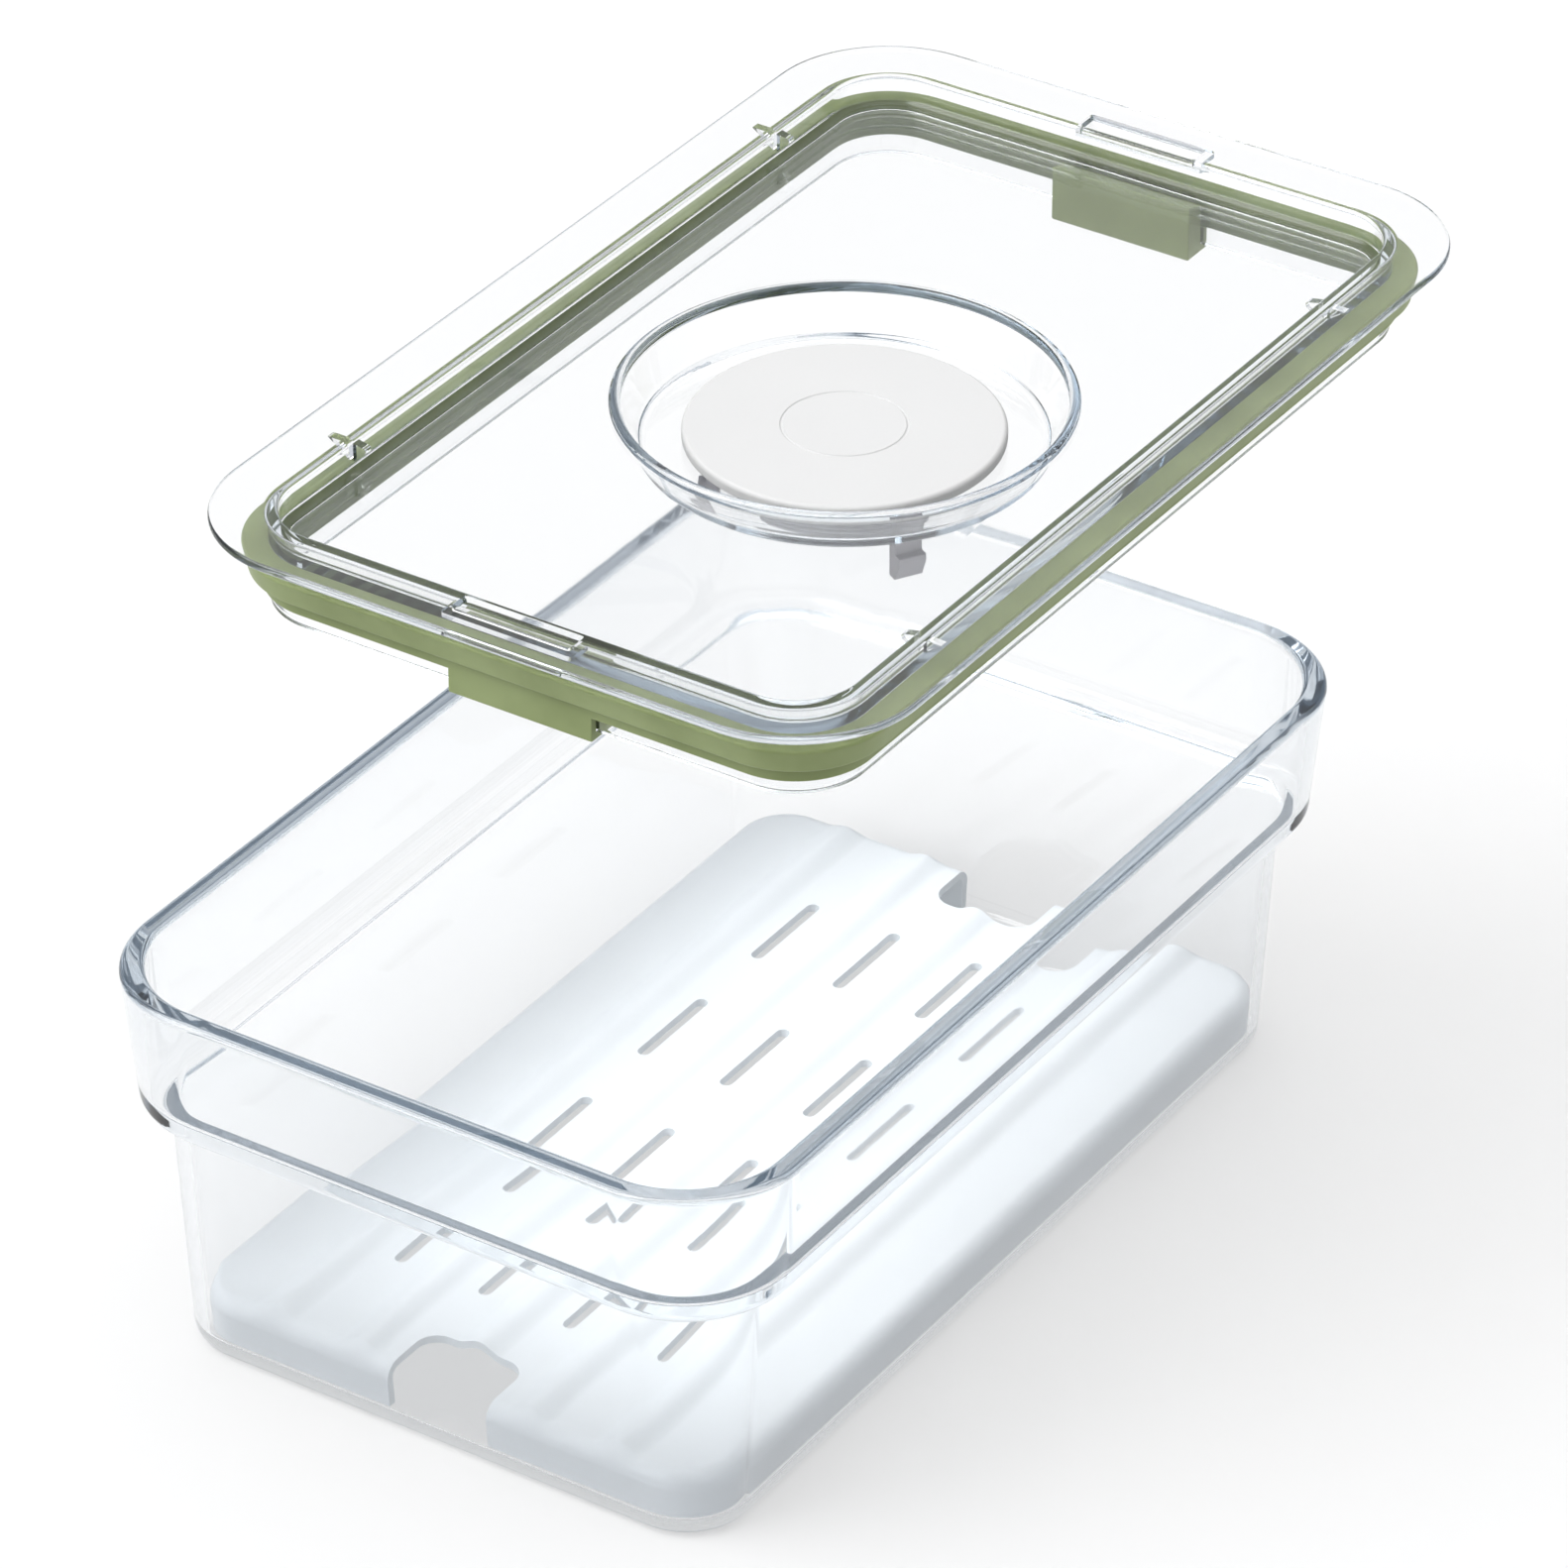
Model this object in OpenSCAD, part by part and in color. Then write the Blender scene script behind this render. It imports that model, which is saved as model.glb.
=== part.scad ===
// Clear fridge bin with a drain tray, a lid with a soft gasket, and a pull-up vent in the lid.
// +Z is up. The origin is the middle of the bin's underside. X runs across the bin, Y along it.
// The lid is drawn lifted off and set a little aside. It seats along one straight slanted line.

/* [Bin] */
// Outside width at the rim
rim_w = 128; // [100:1:200]
// Outside length at the rim
rim_l = 202; // [150:1:320]
// Corner radius of the rim and the lid, seen from above
rim_r = 22; // [20:0.5:30]
// Height of the bin
bin_h = 73.8; // [60:0.2:140]
// Wall thickness at the rim
rim_wall = 4.3; // [3.4:0.1:5]
// Wall thickness of the collar just above its step
collar_wall = 2.6; // [2:0.1:3]
// Wall thickness of the body below the step
body_wall = 2.2; // [1.6:0.1:2.6]
// Height of the step inside the collar, from the ground
step_z = 50.6; // [38:0.2:110]
// How far the collar's outside leans in from the rim down to the step
collar_lean = 2.2; // [1:0.1:2.6]
// How far the body's outside stands in from the rim, just under the step
body_in = 7.4; // [6.4:0.1:8]
// How far the body leans in from the step down to the foot
body_lean = 2.3; // [1:0.1:3]
// Thickness of the floor
floor_t = 2.6; // [2:0.1:4]
// Outside radius where the wall meets the floor
foot_fillet = 3.2; // [2:0.1:4]

/* [Tray] */
// Gap between the tray and the bin's wall
tray_gap = 0.9; // [0.5:0.1:1.5]
// Height of the tray's plate above the bin's floor
tray_h = 8.6; // [6:0.2:14]
// Thickness of the tray's plate and skirt
tray_t = 1.5; // [1.2:0.1:2]
// Number of long ridges
ridge_count = 5; // [3:2:5]
// Distance between ridges
ridge_pitch = 17; // [13:0.5:18]
// Height of a ridge above the plate
ridge_h = 1.5; // [0.8:0.1:2.5]
// Width of the finger notch at each end
notch_w = 19.6; // [16:0.2:24]
// Depth of the finger notch
notch_d = 12; // [9:0.5:16]
// Width of a drain slot
slot_w = 2.4; // [1.6:0.1:3]
// Length of a drain slot
slot_l = 20; // [12:1:24]

/* [Lid] */
// Thickness of the flange that lies on the rim
flange_t = 1.5; // [1.2:0.1:2]
// Width of the flange, from its edge to the recess
flange_w = 11.1; // [10.5:0.1:13]
// Depth of the recess in the middle of the lid
recess_d = 5.3; // [4:0.1:7]
// Radius of the cove between the recess's wall and the panel
cove_r = 1.8; // [1:0.1:3]
// Thickness of the panel
panel_t = 1.8; // [1.4:0.1:2.4]
// Depth of the plug that goes into the bin, from the flange's top
plug_d = 16.2; // [15:0.2:20]
// Thickness of the plug's wall
plug_t = 2; // [1.5:0.1:2.4]
// Width of the pocket in each end of the flange
pocket_w = 22.4; // [18:0.2:30]
// Depth of the pocket
pocket_d = 1.3; // [0.8:0.1:1.4]
// Distance of the four small fins from the middle of the lid
fin_y = 61.5; // [40:0.5:64]
// Thickness of a fin
fin_t = 1.6; // [1:0.1:2.4]

/* [Vent] */
// Outside radius of the round dish where it leaves the panel
dish_r = 38; // [37:0.5:42]
// Outside radius of the dish at its floor
dish_foot_r = 34.4; // [33:0.2:36]
// Depth of the dish's underside below the flange's top
dish_d = 14.6; // [13:0.2:18]
// Wall thickness of the dish
dish_t = 1.7; // [1.4:0.1:2]
// Radius of the vent cap
cap_r = 26.5; // [26:0.5:28]
// Thickness of the vent cap
cap_t = 2.1; // [1.8:0.1:2.4]
// Radius of the vent's stem over its sealing rings
stem_r = 13; // [11:0.5:14]
// Distance of the legs' middle in from the cap's edge
leg_in = 5; // [4.5:0.1:6]
// Width of a leg
leg_w = 4.8; // [3.6:0.2:6]
// How far the vent pulls up
vent_lift = 8.5; // [5:0.5:9]

/* [Gasket] */
// Gap between the gasket's lip and the bin's wall
lip_gap = 0.7; // [0.4:0.05:1]
// Depth of the lip below the flange's top
lip_d = 5.8; // [5.2:0.1:6.6]
// Depth of the gasket's lower edge below the flange's top
gasket_d = 13.2; // [12.5:0.1:15]
// Thickness of the gasket's band
band_t = 1.2; // [0.9:0.1:1.5]
// Width of the clip at each end
clip_w = 27; // [20:0.5:40]

/* [Lifted lid] */
// How far the lid is lifted above its seat
lift_z = 84; // [40:1:120]
// How far it is set aside along X
aside_x = 14.6; // [0:0.2:16]
// How far it is set aside along Y
aside_y = 9.6; // [0:0.2:12]

/* [Hidden] */
$fn = 96;

seat_gap = 0.2;                                  // between the rim and the flange that lies on it
fit_gap = 0.05;                                  // between pieces pressed together
run_gap = 0.5;                                   // round the vent's stem and legs
rest_gap = 0.3;                                  // under a piece that rests on another

// Bin
body_top_z = step_z - 2.8;                       // underside of the step, outside
foot_x = body_in + body_lean;                    // inset of the body's outside at the foot
wall_slope = body_lean / (body_top_z - foot_fillet);
rim_round = 1.2;                                 // radius of the rim's two edges
collar_round = 2.6;                              // radius under the collar
step_round = 1.4;                                // radius of the step's inner edge
inner_fillet = tray_gap + 0.1;                   // between wall and floor, clear of the tray's foot

// Tray
tray_foot_z = floor_t + rest_gap;
tray_top_z = floor_t + tray_h;
tray_x = foot_x + body_wall + tray_gap;          // inset of the tray's skirt at its foot
tray_head_x = tray_x - wall_slope * tray_h;      // and at its shoulder
tray_round = 3;                                  // radius of the tray's shoulder
ridge_r = 5.5;                                   // radius of a ridge's back
ridge_half = sqrt(ridge_r ^ 2 - (ridge_r - ridge_h) ^ 2);
ridge_side = acos((ridge_r - ridge_h) / ridge_r);
ridge_root = ridge_r - ridge_h - 1.2;            // height of a ridge's root above its centre
ridge_end_r = tray_round + ridge_h;              // radius of a ridge's end
ridge_y = rim_l / 2 - tray_head_x - ridge_end_r;
notch_round = 4;
slot_rows = 4;
slot_pitch = (rim_l - 2 * tray_x - 2 * notch_d - 10) / slot_rows;

// Lid, with the flange's top at zero
plug_x = flange_w - 1.7;                         // inset of the plug's outside
under_z = -recess_d - panel_t;                   // underside of the panel
cove = min(cove_r, recess_d - 0.8);
edge_round = 0.6;
bead_h = 0.5;                                    // bead round the dish, above the panel
dish_floor_t = 1.8;
dish_floor_z = -dish_d + dish_floor_t;
dish_slope = (dish_r - dish_foot_r) / (dish_d - dish_floor_t - recess_d - panel_t);
pocket_t = 1.1;                                  // thickness of the pocket's floor and walls
pocket_x = rim_wall + 0.6;                       // the pocket's shell starts inside the rim
pocket_l = flange_w - 0.7 - pocket_x - pocket_t;
fin_in = 2.4;                                    // how far a fin stands into the recess
fin_x = pocket_x + 1.2;                          // and its inset where it starts under the flange
fin_foot_d = 3.8;                                // depth of a fin's foot, above the gasket's lip

// Vent
cap_foot_z = dish_floor_z + rest_gap;
cap_top_z = cap_foot_z + cap_t;
cap_edge = 1.9;                                  // width of the cap's thick edge
cap_recess = 0.9;                                // depth of the recess for the stem's plate
plate_r = cap_r - cap_edge - fit_gap;            // the stem's plate, let into the cap
plate_t = cap_recess - fit_gap;
groove_r = 10.3;                                 // decorative groove in the cap
sleeve_t = 1.1;                                  // the sealing sleeve between its rings
ring_out = 0.9;                                  // how far a ring stands out of the sleeve
ring_count = 4;
hub_r = stem_r - ring_out - sleeve_t - fit_gap;
hub_bore_r = hub_r - 1.8;
stem_foot_z = -25.6;
sleeve_top_z = cap_foot_z - 0.4;
vent_window_w = 7;                               // air windows in the stem, above the sleeve
vent_window_h = 4;
leg_t = 2;
leg_r = cap_r - leg_in;                          // distance of the legs from the vent's axis
leg_foot_z = stem_foot_z - 2.4;
hook_out = 1.5;                                  // how far a leg's hook stands out
hook_top_z = -dish_d - vent_lift - rest_gap;
slot_out = 0.45;                                 // room outside a leg, less than its hook
leg_angles = [90, 210, 330];

// Gasket
lip_x = rim_wall + 0.15 + lip_gap;               // inset of the lip's tip
band_x = plug_x - fit_gap;                       // inset of the band's back
clip_foot_z = -plug_d - 1.3;
clip_x = plug_x + plug_t + 4;                    // inset of the clip's inner face

// Points of an arc, from one angle to another
function arc(c, r, a0, a1, n = 6) =
    [for (i = [0:n]) c + r * [cos(a0 + (a1 - a0) * i / n), sin(a0 + (a1 - a0) * i / n)]];

// One straight side of a sweep, out from the middle, with its profile pointing inwards
module side(len, out)
    translate([out, len / 2, 0]) rotate([90, 0, 0]) linear_extrude(len) mirror([1, 0]) children();

module corner(sx, sy)
    mirror([sx < 0 ? 1 : 0, 0, 0]) mirror([0, sy < 0 ? 1 : 0, 0]) children();

// Sweeps a profile round a rounded rectangle. The profile's x is the inset from the outline.
module sweep(w, l, r) {
    for (sx = [-1, 1], sy = [-1, 1])
        corner(sx, sy) translate([w / 2 - r, l / 2 - r, 0])
            rotate_extrude(angle = 90) translate([r, 0]) mirror([1, 0]) children();
    for (s = [0, 1]) rotate(180 * s) {
        side(l - 2 * r, w / 2) children();
        rotate(90) side(w - 2 * r, l / 2) children();
    }
}

module block(w, l, z0, z1) translate([-w / 2, -l / 2, z0]) cube([w, l, z1 - z0]);

// Plate that closes a sweep whose profile stops just short of its corner's centre
module middle(r, z0, z1) block(rim_w - 2 * r + 2, rim_l - 2 * r + 2, z0, z1);

module both_ends() for (s = [0, 1]) rotate(180 * s) children();

module raised() translate([aside_x, aside_y, bin_h + seat_gap + flange_t + lift_z]) children();

// ---- Bin: tapered tub with a wider collar and a step inside

module bin_profile() {
    collar_x = collar_lean + collar_wall;
    body_x = body_in + body_wall;
    polygon(concat(
        arc([foot_x + foot_fillet, foot_fillet], foot_fillet, 270, 180),
        arc([body_in - 1, body_top_z - 1], 1, 0, 90, 4),
        arc([collar_lean + collar_round, body_top_z + collar_round], collar_round, 270, 180),
        arc([rim_round, bin_h - rim_round], rim_round, 180, 90, 5),
        arc([rim_wall - rim_round, bin_h - rim_round], rim_round, 90, 0, 5),
        arc([collar_x + 1.5, step_z + 1.5], 1.5, 180, 270, 4),
        arc([body_x - step_round, step_z - step_round], step_round, 90, 0, 5),
        arc([foot_x + body_wall + inner_fillet, floor_t + inner_fillet], inner_fillet, 180, 270),
        [[rim_r - 0.5, floor_t], [rim_r - 0.5, 0]]));
}

module bin() color([0.88, 0.93, 0.97, 0.35]) {
    sweep(rim_w, rim_l, rim_r) bin_profile();
    middle(rim_r, 0, floor_t);
}

// ---- Drain tray: ridged plate on a skirt, with drain slots and a finger notch at each end

module tray_profile() {
    c = [tray_head_x + tray_round, tray_top_z - tray_round];
    polygon(concat(
        [[tray_x, tray_foot_z]],
        arc(c, tray_round, 180, 90),
        [[rim_r - 0.5, tray_top_z], [rim_r - 0.5, tray_top_z - tray_t]],
        arc(c, tray_round - tray_t, 90, 180),
        [[tray_x + tray_t, tray_foot_z]]));
}

module ridges() intersection() {
    rotate([90, 0, 0]) linear_extrude(rim_l, center = true)
        for (i = [0:ridge_count - 1])
            translate([(i - (ridge_count - 1) / 2) * ridge_pitch, tray_top_z + ridge_h - ridge_r])
                polygon(concat(arc([0, 0], ridge_r, 90 - ridge_side, 90 + ridge_side, 10),
                               [[-ridge_half, ridge_root], [ridge_half, ridge_root]]));
    rotate([90, 0, 90]) linear_extrude(rim_w, center = true)
        polygon(concat(arc([ridge_y, tray_top_z - tray_round], ridge_end_r, 0, 90),
                       arc([-ridge_y, tray_top_z - tray_round], ridge_end_r, 90, 180)));
}

module notch() translate([0, rim_l / 2 - tray_x - notch_d, 0]) {
    translate([-notch_w / 2, notch_round, 0]) cube([notch_w, notch_d + 9, tray_top_z + 9]);
    translate([-notch_w / 2 + notch_round, 0, 0])
        cube([notch_w - 2 * notch_round, notch_d, tray_top_z + 9]);
    for (s = [-1, 1]) translate([s * (notch_w / 2 - notch_round), notch_round, 0])
        cylinder(h = tray_top_z + 9, r = notch_round);
}

module drain_slot() linear_extrude(tray_top_z + 9) {
    $fn = 24;
    square([slot_w, slot_l - slot_w], center = true);
    for (s = [-1, 1]) translate([0, s * (slot_l - slot_w) / 2]) circle(d = slot_w);
}

module drain_tray() color([0.86, 0.91, 0.95]) difference() {
    union() {
        sweep(rim_w, rim_l, rim_r) tray_profile();
        middle(rim_r, tray_top_z - tray_t, tray_top_z);
        ridges();
    }
    both_ends() notch();
    for (i = [0:ridge_count - 2], j = [0:slot_rows - 1])
        translate([(i - (ridge_count - 2) / 2) * ridge_pitch, (j - (slot_rows - 1) / 2) * slot_pitch, 0])
            drain_slot();
}

// ---- Lid: flange, recessed panel, plug wall and the round dish that holds the vent

module lid_profile() {
    inner_x = plug_x + plug_t;
    polygon(concat(
        arc([edge_round, edge_round - flange_t], edge_round, 270, 180, 4),
        arc([edge_round, -edge_round], edge_round, 180, 90, 4),
        arc([flange_w - edge_round, -edge_round], edge_round, 90, 0, 4),
        arc([flange_w + cove, cove - recess_d], cove, 180, 270, 7),
        [[rim_r - 0.5, -recess_d], [rim_r - 0.5, under_z]],
        arc([inner_x + 1, under_z - 1], 1, 90, 180, 4),
        arc([inner_x - 0.5, 0.5 - plug_d], 0.5, 0, -90, 3),
        arc([plug_x + 0.5, 0.5 - plug_d], 0.5, 270, 180, 3),
        arc([plug_x - 0.8, -flange_t - 0.8], 0.8, 0, 90, 4)));
}

module dish_profile() {
    inner_foot_r = dish_foot_r - dish_t;
    top_z = bead_h - recess_d;
    mid_r = dish_r - dish_t / 2;
    polygon(concat(
        [[stem_r + run_gap, -dish_d]],
        arc([dish_foot_r - dish_floor_t, dish_floor_z], dish_floor_t, 270, 360, 5),
        [[dish_r, under_z]],
        arc([mid_r, top_z - dish_t / 2], dish_t / 2, 0, 180, 8),
        [[dish_r - dish_t, under_z]],
        arc([inner_foot_r - 1.5 + 1.5 * dish_slope, dish_floor_z + 1.5], 1.5, 0, -90, 5),
        [[stem_r + run_gap, dish_floor_z]]));
}

module leg_slot(a) rotate(a) translate([leg_r - leg_t / 2 - run_gap, -leg_w / 2 - run_gap, -dish_d - 1])
    cube([leg_t + run_gap + slot_out, leg_w + 2 * run_gap, dish_floor_t + 2]);

// Small fin across the recess's wall, from under the flange into the recess
module fin() translate([rim_w / 2 - flange_w, fin_t / 2, 0]) rotate([90, 0, 0]) linear_extrude(fin_t)
    polygon([[0, -0.4], [-fin_in, -0.9], [-fin_in, -1.7], [0, -fin_foot_d],
             [flange_w - plug_x, -fin_foot_d], [flange_w - fin_x, -flange_t], [flange_w - fin_x, -1]]);

module lid() color([0.90, 0.95, 0.98, 0.3]) raised() difference() {
    union() {
        sweep(rim_w, rim_l, rim_r) lid_profile();
        difference() {
            middle(rim_r, under_z, -recess_d);
            translate([0, 0, under_z - 1]) cylinder(h = panel_t + 2, r = dish_r - dish_t / 2);
        }
        rotate_extrude() dish_profile();
        for (s = [0, 1], y = [-fin_y, fin_y]) rotate(180 * s) translate([0, y, 0]) fin();
        both_ends() translate([-pocket_w / 2 - pocket_t, rim_l / 2 - plug_x - 0.5, -pocket_d - pocket_t])
            cube([pocket_w + 2 * pocket_t, plug_x + 0.5 - pocket_x, pocket_d]);
    }
    for (a = leg_angles) leg_slot(a);
    both_ends() translate([-pocket_w / 2, rim_l / 2 - pocket_x - pocket_t - pocket_l, -pocket_d])
        cube([pocket_w, pocket_l, pocket_d + 1]);
}

// ---- Gasket: soft band round the plug, with a sealing lip and a clip at each end

module gasket_profile() polygon([
    [band_x, -lip_d - 0.2], [band_x, -gasket_d], [band_x - band_t, -gasket_d],
    [band_x - band_t + 0.1, -lip_d - 1.7], [lip_x + 1.4, -lip_d - 1.5],
    [lip_x + 2, -gasket_d + 3.2], [lip_x + 1.6, -gasket_d + 3], [lip_x + 0.9, -gasket_d + 3.2],
    [lip_x, -lip_d - 0.6], [lip_x, -lip_d - 0.2], [lip_x + 0.3, -lip_d], [band_x - 0.4, -lip_d]]);

// U-shaped clip round the foot of the plug's wall
module clip() translate([-clip_w / 2, rim_l / 2, 0]) rotate([90, 0, 90]) linear_extrude(clip_w)
    mirror([1, 0]) polygon([
        [band_x - band_t, -gasket_d + 1], [band_x, -gasket_d + 1], [band_x, -plug_d - fit_gap],
        [plug_x + plug_t + fit_gap, -plug_d - fit_gap], [plug_x + plug_t + fit_gap, under_z - 1.3],
        [clip_x, under_z - 0.2], [clip_x, clip_foot_z + 0.3], [clip_x - 0.3, clip_foot_z],
        [band_x - band_t + 0.3, clip_foot_z], [band_x - band_t, clip_foot_z + 0.3]]);

module gasket() color([0.50, 0.56, 0.33]) raised() {
    sweep(rim_w, rim_l, rim_r) gasket_profile();
    both_ends() clip();
}

// ---- Vent: cap over the dish's floor, ringed stem through it, three hooked legs

module vent_cap() color([0.90, 0.90, 0.90]) raised() rotate_extrude() polygon(concat(
    [[0, cap_foot_z + cap_recess], [cap_r - cap_edge, cap_foot_z + cap_recess],
     [cap_r - cap_edge, cap_foot_z], [cap_r - 0.5, cap_foot_z], [cap_r, cap_foot_z + 0.5]],
    arc([cap_r - 0.8, cap_top_z - 0.8], 0.8, 0, 90, 4),
    [[groove_r + 0.25, cap_top_z], [groove_r, cap_top_z - 0.2], [groove_r - 0.25, cap_top_z],
     [0, cap_top_z]]));

module leg(a) rotate(a) translate([leg_r - leg_t / 2, leg_w / 2, 0]) rotate([90, 0, 0])
    linear_extrude(leg_w) polygon([
        [0, cap_foot_z + 0.1], [leg_t, cap_foot_z + 0.1], [leg_t, hook_top_z],
        [leg_t + hook_out, hook_top_z], [leg_t + hook_out, hook_top_z - 1.2],
        [leg_t, leg_foot_z], [0.4, leg_foot_z], [0, leg_foot_z + 0.4]]);

module vent_stem() color([0.72, 0.72, 0.75]) raised() {
    difference() {
        union() {
            translate([0, 0, cap_foot_z]) cylinder(h = plate_t, r = plate_r);
            translate([0, 0, stem_foot_z]) cylinder(h = cap_foot_z - stem_foot_z + 0.1, r = hub_r);
        }
        translate([0, 0, stem_foot_z - 1]) cylinder(h = cap_foot_z - stem_foot_z, r = hub_bore_r);
        for (a = leg_angles) rotate(a + 60) translate([0, -vent_window_w / 2, cap_foot_z - vent_window_h - 1])
            cube([stem_r, vent_window_w, vent_window_h]);
    }
    for (a = leg_angles) leg(a);
}

module vent_seal() color([0.74, 0.74, 0.76]) raised() {
    top_z = cap_foot_z - vent_window_h - 1.6;
    in_r = hub_r + fit_gap;
    out_r = in_r + sleeve_t;
    pitch = (top_z - stem_foot_z) / ring_count;
    rotate_extrude() polygon(concat(
        [[in_r, top_z], [in_r, stem_foot_z]],
        [for (i = [0:ring_count - 1]) let (z = stem_foot_z + i * pitch) each [
            [out_r, z], [out_r + ring_out, z + pitch * 0.3],
            [out_r + ring_out, z + pitch * 0.5], [out_r, z + pitch * 0.8]]],
        [[out_r, top_z]]));
}

bin();
drain_tray();
lid();
gasket();
vent_cap();
vent_stem();
vent_seal();
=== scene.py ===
"""Looks of a clear fridge bin with a drain tray, a gasketed lid and a pull-up vent."""

import math
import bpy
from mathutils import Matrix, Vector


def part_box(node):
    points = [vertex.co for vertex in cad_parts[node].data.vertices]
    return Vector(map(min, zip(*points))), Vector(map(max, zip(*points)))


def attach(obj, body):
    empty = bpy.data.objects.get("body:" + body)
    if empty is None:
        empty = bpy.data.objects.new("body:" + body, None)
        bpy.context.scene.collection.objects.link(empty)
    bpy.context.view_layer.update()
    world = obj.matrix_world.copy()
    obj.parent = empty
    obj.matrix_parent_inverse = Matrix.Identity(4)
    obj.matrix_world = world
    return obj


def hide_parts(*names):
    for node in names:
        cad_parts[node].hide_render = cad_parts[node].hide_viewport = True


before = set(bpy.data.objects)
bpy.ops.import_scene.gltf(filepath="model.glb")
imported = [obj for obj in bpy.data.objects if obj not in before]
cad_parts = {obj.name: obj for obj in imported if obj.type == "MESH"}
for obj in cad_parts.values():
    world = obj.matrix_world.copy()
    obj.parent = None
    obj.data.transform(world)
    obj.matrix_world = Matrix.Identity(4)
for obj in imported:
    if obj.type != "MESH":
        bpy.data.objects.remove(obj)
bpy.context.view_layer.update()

from types import SimpleNamespace

import bmesh
import bpy
from mathutils import Matrix, Vector

bl_info = {
    "name": "Fridge Bin",
    "version": (1, 0, 0),
    "blender": (4, 5, 0),
    "location": "3D View > Sidebar > Fridge Bin",
    "description": "Builds a clear fridge bin with its tray, lid, gasket and vent around the packed frame",
    "category": "Add Mesh",
}

MM = 0.001
CORNER_STEPS = 20          # points on a quarter of a rounded rectangle
ROUND_STEPS = 96           # points on a full circle
SHARP_ANGLE = math.radians(48)
ENDS = (0, 180)            # turns about Z that place a piece at each short end
LEG_ANGLES = (90, 210, 330)

# Millimetres that the sizes below build on
FIT_GAP = 0.05             # between pieces pressed together
RUN_GAP = 0.5              # round the vent's stem and legs
REST_GAP = 0.3             # under a piece that rests on another
SEAL_BITE = 0.04           # how far the soft band grips into the plug, so no light is trapped between them
STEP_T = 2.8               # thickness of the bin's step
RECESS_WALL = 1.7          # between the lid's recess and the outside of its plug
DISH_FLOOR_T = 1.8
SLEEVE_T = 1.1             # the vent's sealing sleeve between its rings
RING_OUT = 0.9             # how far a ring stands out of the sleeve
STEM_FOOT_Z = -25.6


def frame_size(node):
    low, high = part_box(node)
    return high - low


def lid_place():
    """Middle of the flange's top, where the frame holds the lid."""
    low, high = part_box("lid")
    return Vector(((low.x + high.x) / 2, (low.y + high.y) / 2, high.z))


def hex_colour(code):
    """Linear colour of an sRGB hex value such as #7A894E."""
    srgb = [int(code[i:i + 2], 16) / 255 for i in (1, 3, 5)]
    return tuple(c / 12.92 if c <= 0.04045 else ((c + 0.055) / 1.055) ** 2.4 for c in srgb)


# ---- Sizes and colours that a user would change


def length(name, description, mm):
    return bpy.props.FloatProperty(
        name=name, description=description, default=mm * MM, subtype="DISTANCE", unit="LENGTH")


def colour(name, description, code):
    return bpy.props.FloatVectorProperty(
        name=name, description=description, default=hex_colour(code), size=3,
        subtype="COLOR", min=0, max=1)


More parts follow.
